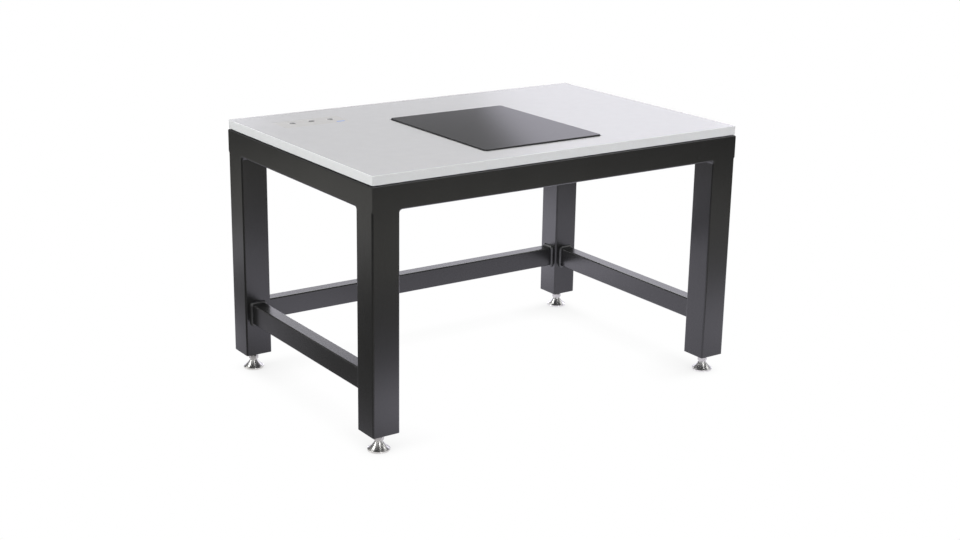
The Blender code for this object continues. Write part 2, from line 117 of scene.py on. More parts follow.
def remap(tree, value, low, high, out_low, out_high):
    node = tree.nodes.new("ShaderNodeMapRange")
    for key, number in (("From Min", low), ("From Max", high),
                        ("To Min", out_low), ("To Max", out_high)):
        node.inputs[key].default_value = number
    tree.links.new(value, node.inputs["Value"])
    return node.outputs["Result"]


def tones_node(tree, value, stops):
    node = tree.nodes.new("ShaderNodeValToRGB")
    ramp = node.color_ramp
    while len(ramp.elements) < len(stops):
        ramp.elements.new(0.5)
    for element, (place, colour) in zip(ramp.elements, stops):
        element.position = place
        element.color = (*colour, 1.0)
    tree.links.new(value, node.inputs["Fac"])
    return node.outputs["Color"]


def bump_node(tree, height, strength, distance, below=None):
    node = tree.nodes.new("ShaderNodeBump")
    node.inputs["Strength"].default_value = strength
    node.inputs["Distance"].default_value = distance
    tree.links.new(height, node.inputs["Height"])
    if below is not None:
        tree.links.new(below, node.inputs["Normal"])
    return node.outputs["Normal"]


def blank(name, **sockets):
    mat = bpy.data.materials.new(name)
    mat.use_nodes = True
    shader = mat.node_tree.nodes["Principled BSDF"]
    for key, value in sockets.items():
        shader.inputs[key.replace("_", " ")].default_value = value
    coord = mat.node_tree.nodes.new("ShaderNodeTexCoord")
    return mat, mat.node_tree, shader, coord.outputs["Object"]


def stretched(tree, vector, scale):
    node = tree.nodes.new("ShaderNodeMapping")
    node.inputs["Scale"].default_value = scale
    tree.links.new(vector, node.inputs["Vector"])
    return node.outputs["Vector"]


def coated(name, dark, light, cloud, rough, grain, bump, peel=None, sway=None, **sockets):
    """Cloudy base tone, grain in the roughness, fine bump, optional orange peel and
    long shallow waves."""
    mat, tree, shader, at = blank(name, **sockets)
    tone = tones_node(tree, noise_node(tree, at, cloud, 4.0, 0.55),
                      ((0.32, dark), (0.68, light)))
    tree.links.new(tone, shader.inputs["Base Color"])
    fine = noise_node(tree, at, grain, 3.0, 0.6)
    tree.links.new(remap(tree, fine, 0.3, 0.7, rough[0], rough[1]), shader.inputs["Roughness"])
    normal = bump_node(tree, fine, bump[0], bump[1])
    if peel is not None:
        normal = bump_node(tree, noise_node(tree, at, peel[0], 1.5, 0.5), peel[1], peel[2], normal)
    if sway is not None:
        normal = bump_node(tree, noise_node(tree, at, sway[0], 1.0, 0.5), sway[1], sway[2], normal)
    tree.links.new(normal, shader.inputs["Normal"])
    return mat


POWDER = coated("powder_coat_black", (0.0045, 0.0045, 0.0046), (0.0065, 0.0065, 0.0067), 9.0,
                (0.255, 0.280), 1300.0, (0.03, 0.00001), peel=(420.0, 0.03, 0.00002),
                sway=(12.0, 0.35, 0.0010), Specular_IOR_Level=0.70)
# The frame's black coat with a lighter base tone for the weld beads: a painted highlight, so the beads read
# lighter than the faces round them.
WELD_COAT_PAINTED_LIGHTER = coated("powder_coat_on_weld_painted_lighter", (0.014, 0.014, 0.0143), (0.021, 0.021, 0.0214), 60.0,
              (0.34, 0.42), 1300.0, (0.05, 0.00001), peel=(420.0, 0.05, 0.00002),
              Specular_IOR_Level=1.0)
LAMINATE = coated("laminate_light_grey", (0.418, 0.418, 0.421), (0.428, 0.428, 0.431), 30.0,
                  (0.17, 0.24), 2600.0, (0.20, 0.00001), peel=(900.0, 0.15, 0.00001),
                  Specular_IOR_Level=0.5)
# The worktop's own laminate with a lighter, slightly cool tone for its upright sides: painted light standing
# in for the light the sides catch, not a separate edge band.
WORKTOP_SIDES_PAINTED_LIGHT = coated("worktop_sides_painted_lighter", (0.575, 0.583, 0.588), (0.590, 0.598, 0.603), 40.0,
                (0.24, 0.32), 2600.0, (0.20, 0.00001), peel=(900.0, 0.15, 0.00001),
                Specular_IOR_Level=0.5)
SATIN = coated("platform_satin_black", (0.006, 0.006, 0.0065), (0.009, 0.009, 0.0095), 12.0,
               (0.11, 0.16), 2200.0, (0.15, 0.00001), peel=(700.0, 0.10, 0.00001),
               Specular_IOR_Level=0.55)
RUBBER = coated("bedding_rubber", (0.008, 0.008, 0.008), (0.014, 0.014, 0.014), 120.0,
                (0.70, 0.85), 1500.0, (0.5, 0.00006))
ZINC = coated("zinc_plated_steel", (0.50, 0.50, 0.50), (0.62, 0.62, 0.61), 260.0,
              (0.28, 0.42), 1200.0, (0.25, 0.00003), Metallic=1.0)
SPRING = coated("spring_steel", (0.26, 0.26, 0.27), (0.36, 0.36, 0.37), 300.0,
                (0.25, 0.36), 2600.0, (0.25, 0.00002), Metallic=1.0)
DAMPER = coated("damper_elastomer", (0.018, 0.018, 0.020), (0.028, 0.028, 0.030), 150.0,
                (0.55, 0.72), 1400.0, (0.4, 0.00004))
PLASTIC = coated("housing_plastic", (0.018, 0.018, 0.018), (0.026, 0.026, 0.026), 60.0,
                 (0.45, 0.58), 1600.0, (0.5, 0.00005))
PANEL = coated("control_strip_grey", (0.400, 0.396, 0.385), (0.420, 0.416, 0.405), 40.0,
               (0.18, 0.25), 2600.0, (0.20, 0.00001))
KEY = coated("key_dark_grey", (0.070, 0.070, 0.072), (0.090, 0.090, 0.090), 150.0,
             (0.36, 0.48), 2400.0, (0.35, 0.00002))
COLLAR = coated("key_collar_grey", (0.235, 0.233, 0.228), (0.260, 0.258, 0.252), 200.0,
                (0.30, 0.40), 2400.0, (0.25, 0.00002))
PIP = coated("key_pip_light", (0.60, 0.60, 0.59), (0.66, 0.66, 0.65), 300.0,
             (0.30, 0.40), 2600.0, (0.20, 0.00001))
LENS = coated("lens_blue", (0.095, 0.19, 0.52), (0.125, 0.23, 0.58), 220.0,
              (0.18, 0.26), 1800.0, (0.10, 0.00001))


def steel(name, rough, lathe, drawn, dark, light):
    """Turned stainless steel: fine rings round the foot's own axis draw the highlights
    out into radial fans."""
    mat, tree, shader, at = blank(name, Metallic=1.0, Anisotropic=drawn, Anisotropic_Rotation=0.25)
    rings = noise_node(tree, stretched(tree, at, (40.0, 40.0, 9000.0)), 1.0, 2.0, 0.6)
    cloud = noise_node(tree, at, 180.0, 3.0, 0.5)
    tone = tones_node(tree, cloud, ((0.3, dark), (0.7, light)))
    tree.links.new(tone, shader.inputs["Base Color"])
    tree.links.new(remap(tree, rings, 0.3, 0.7, rough[0], rough[1]), shader.inputs["Roughness"])
    tree.links.new(bump_node(tree, rings, lathe[0], lathe[1]), shader.inputs["Normal"])
    around = tree.nodes.new("ShaderNodeTangent")
    around.direction_type = "RADIAL"
    around.axis = "Z"
    tree.links.new(around.outputs["Tangent"], shader.inputs["Tangent"])
    return mat


STEEL = steel("turned_stainless", (0.22, 0.27), (0.05, 0.00001), 0.9,
              (0.56, 0.555, 0.54), (0.62, 0.615, 0.60))
THREAD = steel("threaded_stainless", (0.22, 0.30), (0.12, 0.00002), 0.0,
               (0.44, 0.432, 0.415), (0.52, 0.512, 0.495))


def circuit_board():
    mat, tree, shader, at = blank("circuit_board", Specular_IOR_Level=0.5)
    wires = tree.nodes.new("ShaderNodeTexBrick")
    wires.inputs["Scale"].default_value = 120.0
    wires.inputs["Mortar Size"].default_value = 0.04
    wires.inputs["Color1"].default_value = (0.010, 0.085, 0.030, 1.0)
    wires.inputs["Color2"].default_value = (0.012, 0.100, 0.036, 1.0)
    wires.inputs["Mortar"].default_value = (0.030, 0.180, 0.070, 1.0)
    tree.links.new(at, wires.inputs["Vector"])
    tree.links.new(wires.outputs["Color"], shader.inputs["Base Color"])
    fine = noise_node(tree, at, 1500.0)
    tree.links.new(remap(tree, fine, 0.3, 0.7, 0.30, 0.45), shader.inputs["Roughness"])
    tree.links.new(bump_node(tree, wires.outputs["Fac"], 0.4, 0.00005), shader.inputs["Normal"])
    return mat


BOARD = circuit_board()

FINISH = {
    "worktop": LAMINATE, "platform": SATIN, "isolator_tray": POWDER,
    "control_panel": PANEL, "indicator_lens": LENS, "control_board": BOARD,
    "control_housing": PLASTIC, "power_inlet": PLASTIC,
}
for prefix, mat in (("rail_", POWDER), ("leg_", POWDER), ("stretcher_", POWDER),
                    ("isolator_beam_", POWDER), ("bedding_strip_", RUBBER),
                    ("worktop_bracket_", ZINC), ("foot_plate_", POWDER),
                    ("isolator_cup_", ZINC), ("isolator_seat_", ZINC),
                    ("isolator_spring_", SPRING), ("isolator_damper_", DAMPER),
                    ("foot_base_", STEEL), ("foot_spindle_", STEEL), ("control_key_", KEY)):
    for name in nodes:
        if name.startswith(prefix):
            FINISH[name] = mat
for name, mat in FINISH.items():
    mesh = nodes[name].data
    mesh.materials.clear()
    mesh.materials.append(mat)


# -------------------------------------------------------------- shape building
def rounded_rect(w, h, r, seg):
    """Corner-rounded rectangle about the origin, counter-clockwise."""
    pts = []
    for sx, sy, start in ((1, 1, 0), (-1, 1, 90), (-1, -1, 180), (1, -1, 270)):
        cx, cy = sx * (w / 2 - r), sy * (h / 2 - r)
        for k in range(seg + 1):
            a = math.radians(start + 90.0 * k / seg)
            pts.append((cx + r * math.cos(a), cy + r * math.sin(a)))
    return pts


def circle(r, n):
    return [(r * math.cos(2 * math.pi * i / n), r * math.sin(2 * math.pi * i / n))
            for i in range(n)]


def skin(bm, loops, closed=False, caps=True):
    """Joins equal point loops into one body in bm."""
    rows = [[bm.verts.new(p) for p in loop] for loop in loops]
    n = len(rows[0])
    faces = []
    for a, b in zip(rows, rows[1:] + ([rows[0]] if closed else [])):
        for i in range(n):
            j = (i + 1) % n
            faces.append(bm.faces.new((a[i], a[j], b[j], b[i])))
    if caps and not closed:
        faces.append(bm.faces.new(rows[0][::-1]))
        faces.append(bm.faces.new(rows[-1]))
    bmesh.ops.recalc_face_normals(bm, faces=faces)
    return bm


def loft(loops, closed=False):
    return skin(bmesh.new(), loops, closed)


def piece(name, bm, mat, body="frame", stands_for=(), smooth=40.0, weigh=True):
    mesh = bpy.data.meshes.new(name)
    bm.to_mesh(mesh)
    bm.free()
    mesh.materials.append(mat)
    mesh.shade_smooth()
    mesh.set_sharp_from_angle(angle=math.radians(smooth))
    ob = bpy.data.objects.new(name, mesh)
    scene.collection.objects.link(ob)
    if weigh:
        mod = ob.modifiers.new("flat_faces", "WEIGHTED_NORMAL")
        mod.keep_sharp = True
        mod.weight = 90
    if body:
        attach(ob, body)
    if stands_for:
        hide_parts(*stands_for)
    return ob


# ------------------------------------------------------------ ring of the frame
def mitred_rail(length, place):
    """Rail with 45 degree ends that meet the next rail face to face."""
    def section(w, h, r, seg):
        return [(u + RAIL_W / 2, v + RAIL_H / 2) for u, v in rounded_rect(w, h, r, seg)]
    outer = section(RAIL_W, RAIL_H, TUBE_R, 8)
    inner = section(RAIL_W - 2 * TUBE_WALL, RAIL_H - 2 * TUBE_WALL, 0.0012, 8)

    def end(points, side):
        return [place(side * (length / 2 - u), u, v) for u, v in points]
    return loft([end(outer, -1), end(outer, 1), end(inner, 1), end(inner, -1)], closed=True)


for label, length, place in (
        ("front", 2 * HALF_W, lambda s, u, v: (s, -HALF_D + u, RING_Z0 + v)),
        ("rear", 2 * HALF_W, lambda s, u, v: (s, HALF_D - u, RING_Z0 + v)),
        ("left", 2 * HALF_D, lambda s, u, v: (-HALF_W + u, s, RING_Z0 + v)),
        ("right", 2 * HALF_D, lambda s, u, v: (HALF_W - u, s, RING_Z0 + v))):
    piece("ring_tube_" + label, mitred_rail(length, place), POWDER,
          stands_for=("rail_" + label,))

# ------------------------------------------------------------------------ legs
for label, sx, sy in CORNERS:
    cx, cy = sx * LEG_X, sy * LEG_Y

    def leg_loop(side, r, z, seg=8):
        return [(cx + x, cy + y, z) for x, y in rounded_rect(side, side, r, seg)]
    hollow = LEG_W - 2 * TUBE_WALL
    cut = 0.0005
    piece("leg_tube_" + label,
          loft([leg_loop(LEG_W - 2 * cut, TUBE_R - cut, LEG_Z0),
                leg_loop(LEG_W, TUBE_R, LEG_Z0 + cut),
                leg_loop(LEG_W, TUBE_R, RING_Z0),
                leg_loop(hollow, 0.0012, RING_Z0),
                leg_loop(hollow, 0.0012, LEG_Z0 + cut),
                leg_loop(hollow + 2 * cut, 0.0012 + cut, LEG_Z0)], closed=True),
          POWDER, stands_for=("leg_" + label,))


# ------------------------------------------- welds between ring and legs, ground
def dip(q):
    """How far a tube's rounded edge falls back at depth q from its outer face."""
    q = min(q, LEG_W - q)
    if q >= TUBE_R:
        return 0.0
    return TUBE_R - math.sqrt(max(TUBE_R ** 2 - (TUBE_R - q) ** 2, 0.0))


def corner_weld(sx, sy):
    """Filled and ground joint on the two outer faces of a leg top, and a concave
    weld in each inside corner under the ring."""
    bm = bmesh.new()

    def world(p, q, z):
        return (sx * (HALF_W - p), sy * (HALF_D - q), z)
    reach, deep = LEG_W - TUBE_R, 0.0062
    rows = []
    for k in range(5):
        t = k / 4
        r = TUBE_R * (1 - t) + 0.0002
        outer = [(reach, 0.0)]
        for i in range(9):
            a = math.radians(270 - 90 * i / 8)
            outer.append((r + r * math.cos(a), r + r * math.sin(a)))
        outer.append((0.0, reach))
        inner = [(deep, reach), (deep, deep), (reach, deep)]
        rows.append([world(p, q, RING_Z0 + TUBE_R * t) for p, q in outer + inner])
    skin(bm, rows)
    depths = [0.0, 0.0002, 0.0006, 0.0012, 0.0020, 0.0031, 0.0043, TUBE_R]
    depths += [LEG_W - d for d in depths[::-1]]
    for swap in (False, True):
        rows = []
        for q in depths:
            fall = dip(q)
            root = 0.003 * min(1.0, min(q, LEG_W - q) / 0.002)
            px, pz = LEG_W - fall, RING_Z0 + fall
            mid = (px + FILLET, pz - FILLET)
            section = []
            for i in range(13):
                a = math.radians(180 - 90 * i / 12)
                section.append((mid[0] + FILLET * math.cos(a), mid[1] + FILLET * math.sin(a)))
            section += [(mid[0], pz + root), (px - root, pz + root), (px - root, mid[1])]
            rows.append([world(q, p, z) if swap else world(p, q, z) for p, z in section])
        skin(bm, rows)
    return bm


for label, sx, sy in CORNERS:
    piece("corner_weld_" + label, corner_weld(sx, sy), POWDER)


# ------------------------------------------------------------------- stretchers
def tube_x(w, h, r, wall, length, seg=6):
    outer = rounded_rect(w, h, r, seg)
    inner = rounded_rect(w - 2 * wall, h - 2 * wall, max(r - wall, 0.001), seg)
    a, b = -length / 2, length / 2
    return [[(a, y, z) for y, z in outer], [(b, y, z) for y, z in outer],
            [(b, y, z) for y, z in inner], [(a, y, z) for y, z in inner]]


def turned_z(points, quarter):
    """Points turned a quarter about Z when the tube runs along Y."""
    return [(-y, x, z) for x, y, z in points] if quarter else points


def moved(points, at):
    return [(x + at[0], y + at[1], z + at[2]) for x, y, z in points]


def weld_bead(bm, w, h, r, radius, phase):
    """Rippled bead round a rectangular tube end: the tube runs along +X from the
    face at x = 0. Closed path round the section."""
    outline = rounded_rect(w, h, r, 6)
    path, total = [], 0.0
    n = len(outline)
    for i in range(n):
        a, b = Vector(outline[i]), Vector(outline[(i + 1) % n])
        steps = max(1, int(round((b - a).length / 0.0007)))
        for k in range(steps):
            path.append((a.lerp(b, k / steps), total + (b - a).length * k / steps))
        total += (b - a).length
    turns = round(total / BEAD_PITCH)
    pitch = total / turns
    rows = []
    m = len(path)
    for i, (p, s) in enumerate(path):
        ahead, behind = path[(i + 1) % m][0], path[i - 1][0]
        t = (ahead - behind).normalized()
        out = Vector((t.y, -t.x))
        f = (s / pitch) % 1.0
        scallop = math.sqrt(max(1 - (2 * f - 1) ** 2, 0.0))
        turn = 2 * math.pi * s / total
        wobble = 0.06 * math.sin(3 * turn + phase) + 0.04 * math.sin(7 * turn + 2.1 * phase)
        rad = radius * (0.95 + 0.06 * scallop + wobble)
        lift = radius * 0.26
        ring = []
        for k in range(12):
            a = 2 * math.pi * k / 12
            c, d = math.cos(a) * rad + lift, math.sin(a) * rad + lift
            ring.append((c, p.x + out.x * d, p.y + out.y * d))
        rows.append(ring)
    return skin(bm, rows, closed=True)


def tube_with_beads(name, node, mat, centre, length, w, h, r, wall, along_y, radius):
    loops = [moved(turned_z(loop, along_y), centre)
             for loop in tube_x(w, h, r, wall, length)]
    piece(name, loft(loops, closed=True), mat, stands_for=(node,))
    for end, side in (("start", -1), ("end", 1)):
        bm = weld_bead(bmesh.new(), w, h, r, radius, 1.7 + side + 3.1 * centre[0] + 5.3 * centre[1])
        flip = Matrix.Scale(-side, 4, (1, 0, 0))
        shift = Matrix.Translation((side * length / 2, 0, 0))
        turn = Matrix.Rotation(math.pi / 2, 4, "Z") if along_y else Matrix.Identity(4)
        bmesh.ops.transform(bm, matrix=Matrix.Translation(centre) @ turn @ shift @ flip,
                            verts=bm.verts)
        bmesh.ops.recalc_face_normals(bm, faces=bm.faces)
        # the beads take the lighter copy of the coat, a painted highlight
        piece(name + "_weld_" + end, bm, WELD_COAT_PAINTED_LIGHTER, weigh=False, smooth=80)


tube_with_beads("stretcher_tube_rear", "stretcher_rear", POWDER, (0, LEG_Y, STRETCH_Z),
                2 * IN_X, STRETCH_W, STRETCH_H, STRETCH_R, STRETCH_WALL, False, BEAD)
for label, side in (("left", -1), ("right", 1)):
    tube_with_beads("stretcher_tube_" + label, "stretcher_" + label, POWDER,
                    (side * LEG_X, 0, STRETCH_Z), 2 * IN_Y, STRETCH_W, STRETCH_H,
                    STRETCH_R, STRETCH_WALL, True, BEAD)
    low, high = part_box("isolator_beam_" + label)
    tube_with_beads("isolator_beam_tube_" + label, "isolator_beam_" + label, POWDER,
                    ((low.x + high.x) / 2, 0, (low.z + high.z) / 2), 2 * IN_Y,
                    high.x - low.x, high.z - low.z, 0.004, 0.003, True, 0.0026)


# --------------------------------------------------------------- worktop board
def rounded_slab(low, high, r, arris, seg=8, arc=5, bottom=True):
    """Board with rounded upright corners and rounded top and bottom arrises."""
    cx, cy = (low.x + high.x) / 2, (low.y + high.y) / 2
    w, d = high.x - low.x, high.y - low.y
    levels = []
    if bottom:
        for k in range(arc + 1):
            a = math.radians(90.0 * k / arc)
            levels.append((arris * (1 - math.sin(a)), low.z + arris * (1 - math.cos(a))))
    else:
        levels.append((0.0, low.z))
    for k in range(arc + 1):
        a = math.radians(90.0 * k / arc)
        levels.append((arris * (1 - math.cos(a)), high.z - arris * (1 - math.sin(a))))
    return [[(cx + x, cy + y, z) for x, y in rounded_rect(w - 2 * c, d - 2 * c, r - c, seg)]
            for c, z in levels]


def solid(name, bm):
    mesh = bpy.data.meshes.new(name)
    bm.to_mesh(mesh)
    bm.free()
    ob = bpy.data.objects.new(name, mesh)
    scene.collection.objects.link(ob)
    return ob


def cut_out(low, high, r, seg, z0, z1, arris):
    """Cutter for an opening with a small chamfer at the worktop's surface."""
    cx, cy = (low[0] + high[0]) / 2, (low[1] + high[1]) / 2
    w, d = high[0] - low[0], high[1] - low[1]
    rows = []
    for grow, z in ((0.0, z0), (0.0, z1 - arris), (arris, z1), (arris, z1 + 0.01)):
        rows.append([(cx + x, cy + y, z)
                     for x, y in rounded_rect(w + 2 * grow, d + 2 * grow, r + grow, seg)])
    return loft(rows)


def carved(blank_bm, tools):
    """The blank with every tool cut out of it, as one mesh."""
    board = solid("blank", blank_bm)
    for tool in tools:
        mod = board.modifiers.new("cut", "BOOLEAN")
        mod.operation = "DIFFERENCE"
        mod.object = tool
    bpy.context.view_layer.update()
    shown = board.evaluated_get(bpy.context.evaluated_depsgraph_get())
    bm = bmesh.new()
    bm.from_mesh(shown.to_mesh())
    shown.to_mesh_clear()
    for ob in [board] + tools:
        bpy.data.objects.remove(ob, do_unlink=True)
    bmesh.ops.remove_doubles(bm, verts=bm.verts, dist=0.000005)
    return bm


def worktop_board():
    gap, lip = 0.003, 0.005
    tools = [
        solid("opening_tool", cut_out((PLATE_LOW.x - gap, PLATE_LOW.y - gap),
                                      (PLATE_HIGH.x + gap, PLATE_HIGH.y + gap), 0.010, 8,
                                      TOP_LOW.z - 0.01, TOP_HIGH.z, 0.0006)),
        solid("shaft_tool", cut_out((PANEL_LOW.x + lip, PANEL_LOW.y + lip),
                                    (PANEL_HIGH.x - lip, PANEL_HIGH.y - lip), 0.004, 4,
                                    TOP_LOW.z - 0.01, TOP_HIGH.z, 0.0)),
        solid("rabbet_tool", cut_out((PANEL_LOW.x - 0.0004, PANEL_LOW.y - 0.0004),
                                     (PANEL_HIGH.x + 0.0004, PANEL_HIGH.y + 0.0004), 0.0044, 4,
                                     PANEL_LOW.z - 0.0003, TOP_HIGH.z, 0.0))]
    return carved(loft(rounded_slab(TOP_LOW, TOP_HIGH, 0.005, 0.0016)), tools)


board = piece("worktop_board", worktop_board(), LAMINATE,
              stands_for=("worktop",), smooth=35)
# the upright sides of the board take the lighter copy of the laminate: painted light, not a separate edge
# band
board.data.materials.append(WORKTOP_SIDES_PAINTED_LIGHT)
for face in board.data.polygons:
    on_rim = (min(face.center.x - TOP_LOW.x, TOP_HIGH.x - face.center.x) < 0.0016
              or min(face.center.y - TOP_LOW.y, TOP_HIGH.y - face.center.y) < 0.0016)
    if on_rim and abs(face.normal.z) < 0.9:
        face.material_index = 1

# ------------------------------------------------------------ floating platform
piece("platform_plate", loft(rounded_slab(PLATE_LOW, PLATE_HIGH, 0.007, 0.0012, 10, 4)), SATIN,
      body="platform", stands_for=("platform",), smooth=35)


# --------------------------------------------------------------- control strip
KEY_R, KEY_GAP, FLANGE_R, FLANGE_T = 0.0075, 0.0003, 0.0098, 0.0025
LENS_LOW, LENS_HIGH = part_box("indicator_lens")
key_at = []
for k in (1, 2, 3):
    low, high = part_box("control_key_%d" % k)
    key_at.append(((low.x + high.x) / 2, (low.y + high.y) / 2, low.z, high.z))


def turned_loops(profile, n, x, y):
    return [[(x + u, y + v, z) for u, v in circle(r, n)] for r, z in profile]


z0, z1 = PANEL_LOW.z, PANEL_HIGH.z
tools = [solid("key_hole", loft(turned_loops(
    ((KEY_R + KEY_GAP, z0 - 0.004), (KEY_R + KEY_GAP, z1 - 0.0003), (KEY_R + KEY_GAP + 0.0003, z1),
     (KEY_R + KEY_GAP + 0.0003, z1 + 0.004)), 64, x, y))) for x, y, low_z, high_z in key_at]
tools.append(solid("lens_slot", cut_out((LENS_LOW.x - 0.0003, LENS_LOW.y - 0.0003),
                                        (LENS_HIGH.x + 0.0003, LENS_HIGH.y + 0.0003), 0.0019, 6,
                                        z0 - 0.004, z1, 0.0002)))
piece("control_strip", carved(loft(rounded_slab(PANEL_LOW, PANEL_HIGH, 0.004, 0.0003, 8, 3)), tools),
      PANEL, stands_for=("control_panel",), smooth=35)
for k, (x, y, low_z, high_z) in enumerate(key_at):
    label = "_%d" % (k + 1)
    under = z0 - KEY_GAP
    profile = [(0.0030, low_z), (0.0030, under - FLANGE_T), (FLANGE_R, under - FLANGE_T),
               (FLANGE_R, under), (KEY_R, under), (KEY_R, high_z - 0.0005)]
    for i in range(1, 6):
        a = math.radians(90.0 * i / 5)
        profile.append((KEY_R - 0.0005 * (1 - math.cos(a)), high_z - 0.0005 * (1 - math.sin(a))))
    for i in range(1, 9):
        r = 0.0068 * (1 - i / 9)
        profile.append((r, high_z - 0.00035 * (1 - (r / 0.0068) ** 2)))
    piece("key_button" + label, loft(turned_loops(profile, 64, x, y)), KEY, body="key" + label,
          stands_for=("control_key" + label,), smooth=30, weigh=False)
    dot = [(0.0011, high_z - 0.0005), (0.0011, high_z - 0.00012), (0.0009, high_z - 0.00002),
           (0.0005, high_z)]
    piece("key_pip" + label, loft(turned_loops(dot, 32, x - 0.0045, y - 0.0020)), PIP,
          body="key" + label, smooth=40, weigh=False)
    rim = []
    for i in range(13):
        a = math.radians(180.0 * i / 12)
        rim.append((0.0099 - 0.0015 * math.cos(a), z1 - 0.0001 + 0.00045 * math.sin(a) ** 0.6))
    piece("key_collar" + label, loft(turned_loops(rim, 64, x, y), closed=True), COLLAR,
          smooth=60, weigh=False)
cx, cy = (LENS_LOW.x + LENS_HIGH.x) / 2, (LENS_LOW.y + LENS_HIGH.y) / 2
w, d = LENS_HIGH.x - LENS_LOW.x, LENS_HIGH.y - LENS_LOW.y
piece("indicator_window", loft([[(cx + x, cy + y, z) for x, y in rounded_rect(
    w - 2 * c, d - 2 * c, 0.0016 - 0.4 * c, 8)] for c, z in (
        (0.0, LENS_LOW.z), (0.0, z1 - 0.0001), (0.00025, z1 + 0.00010), (0.0007, z1 + 0.00020),
        (0.0014, z1 + 0.00027), (0.0023, LENS_HIGH.z))]), LENS,
      stands_for=("indicator_lens",), smooth=50, weigh=False)
line_x, line_y = (-0.508, -0.457), PANEL_HIGH.y - 0.0105
piece("strip_line", loft([[((line_x[0] + line_x[1]) / 2 + x, line_y + y, z) for x, y in rounded_rect(
    line_x[1] - line_x[0] - 2 * c, 0.0026 - 2 * c, 0.0012 - c, 8)] for c, z in (
        (0.0, z1 - 0.0002), (0.0, z1 + 0.00006), (0.00012, z1 + 0.00014))]), COLLAR,
      smooth=50, weigh=False)


# --------------------------------------------------------------- bracket screws
def screw_head(bm, at, axis):
    """Button head with a hexagon socket, standing on a face along its axis."""
    n, r, tall, socket = 48, 0.0045, 0.0026, 0.0015

    def hexagon(z):
        return [(k * math.cos(a), k * math.sin(a), z) for k, a in (
            (socket / math.cos((a + math.pi / 6) % (math.pi / 3) - math.pi / 6), a)
            for a in (2 * math.pi * i / n for i in range(n)))]
    rows = [[(x, y, -0.0002) for x, y in circle(r, n)], [(x, y, 0.0006) for x, y in circle(r, n)]]
    for i in range(1, 8):
        a = math.radians(62.0 * i / 7)
        rows.append([(x, y, 0.0006 + (tall - 0.0006) * math.sin(a) / math.sin(math.radians(62)))
                     for x, y in circle(0.0022 + (r - 0.0022) * (math.cos(a) - math.cos(math.radians(62)))
                                        / (1 - math.cos(math.radians(62))), n)])
    rows += [hexagon(tall), hexagon(tall - 0.0014)]
    turn = Vector((0, 0, 1)).rotation_difference(Vector(axis)).to_matrix().to_4x4()
    put = Matrix.Translation(at) @ turn
    skin(bm, [[tuple(put @ Vector(p)) for p in row] for row in rows])


for label, inward in (("front", (0, 1, 0)), ("rear", (0, -1, 0)), ("left", (1, 0, 0)), ("right", (-1, 0, 0))):
    low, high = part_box("worktop_bracket_" + label)
    mid, inward = (low + high) / 2, Vector(inward)
    along = Vector((abs(inward.y), abs(inward.x), 0))
    half = abs((high - low).dot(inward)) / 2
    wall = Vector((mid.x, mid.y, 0)) - inward * half
    bm = bmesh.new()
    for step in (-0.011, 0.011):
        screw_head(bm, wall + inward * 0.003 + along * step + Vector((0, 0, high.z - 0.018)), inward)
        screw_head(bm, wall + inward * 0.018 + along * step + Vector((0, 0, high.z - 0.003)), (0, 0, -1))
    piece("bracket_screws_" + label, bm, ZINC, smooth=35, weigh=False)


# -------------------------------------------------------------- levelling feet
def foot_profile():
    """Bell foot: upright rim with small rounded edges, a flare that steepens from the
    rim to the neck, and a rolled neck."""
    rim, edge, band, neck, top = 0.030, 0.0008, 0.0056, 0.0110, 0.027
    pts = [(rim - 0.0036, 0.0), (rim - edge, 0.0001)]
    for k in range(1, 6):
        a = math.radians(-90 + 90.0 * k / 5)
        pts.append((rim - edge + edge * math.cos(a), 0.0001 + edge + edge * math.sin(a)))
    for k in range(0, 6):
        a = math.radians(66.0 * k / 5)
        pts.append((rim - edge + edge * math.cos(a), band - edge + edge * math.sin(a)))
    r, z = rim - 0.0010, band + 0.0001
    steps, high = 40, top - 0.0014
    each = (r - neck) / steps
    for k in range(steps):
        z += each * math.tan(math.radians(30.0 + 30.0 * (k + 0.5) / steps))
        r -= each
        pts.append((r, min(z, high)))
    for k in range(0, 6):
        a = math.radians(90.0 * k / 5)
        pts.append((neck - 0.0012 * (1 - math.cos(a)), high + 0.0014 * math.sin(a)))
    pts += [(0.0065, top), (0.0065, 0.012)]
    return pts


def thread_row(n, z0, z1, r, pitch, depth, per):
    """Loops of a right-hand thread on a stem between two heights."""
    rows = []
    steps = int((z1 - z0) / pitch * per)
    for k in range(steps + 1):
        z = z0 + (z1 - z0) * k / steps
        loop = []
        for i in range(n):
            a = 2 * math.pi * i / n
            f = ((z / pitch) - i / n) % 1.0
            crest = 1 - abs(2 * f - 1)
            fade = min(1.0, (z - z0) / pitch, (z1 - z) / pitch)
            loop.append(((r - depth * (1 - crest) * fade) * math.cos(a),
                         (r - depth * (1 - crest) * fade) * math.sin(a), z))
        rows.append(loop)
    return rows


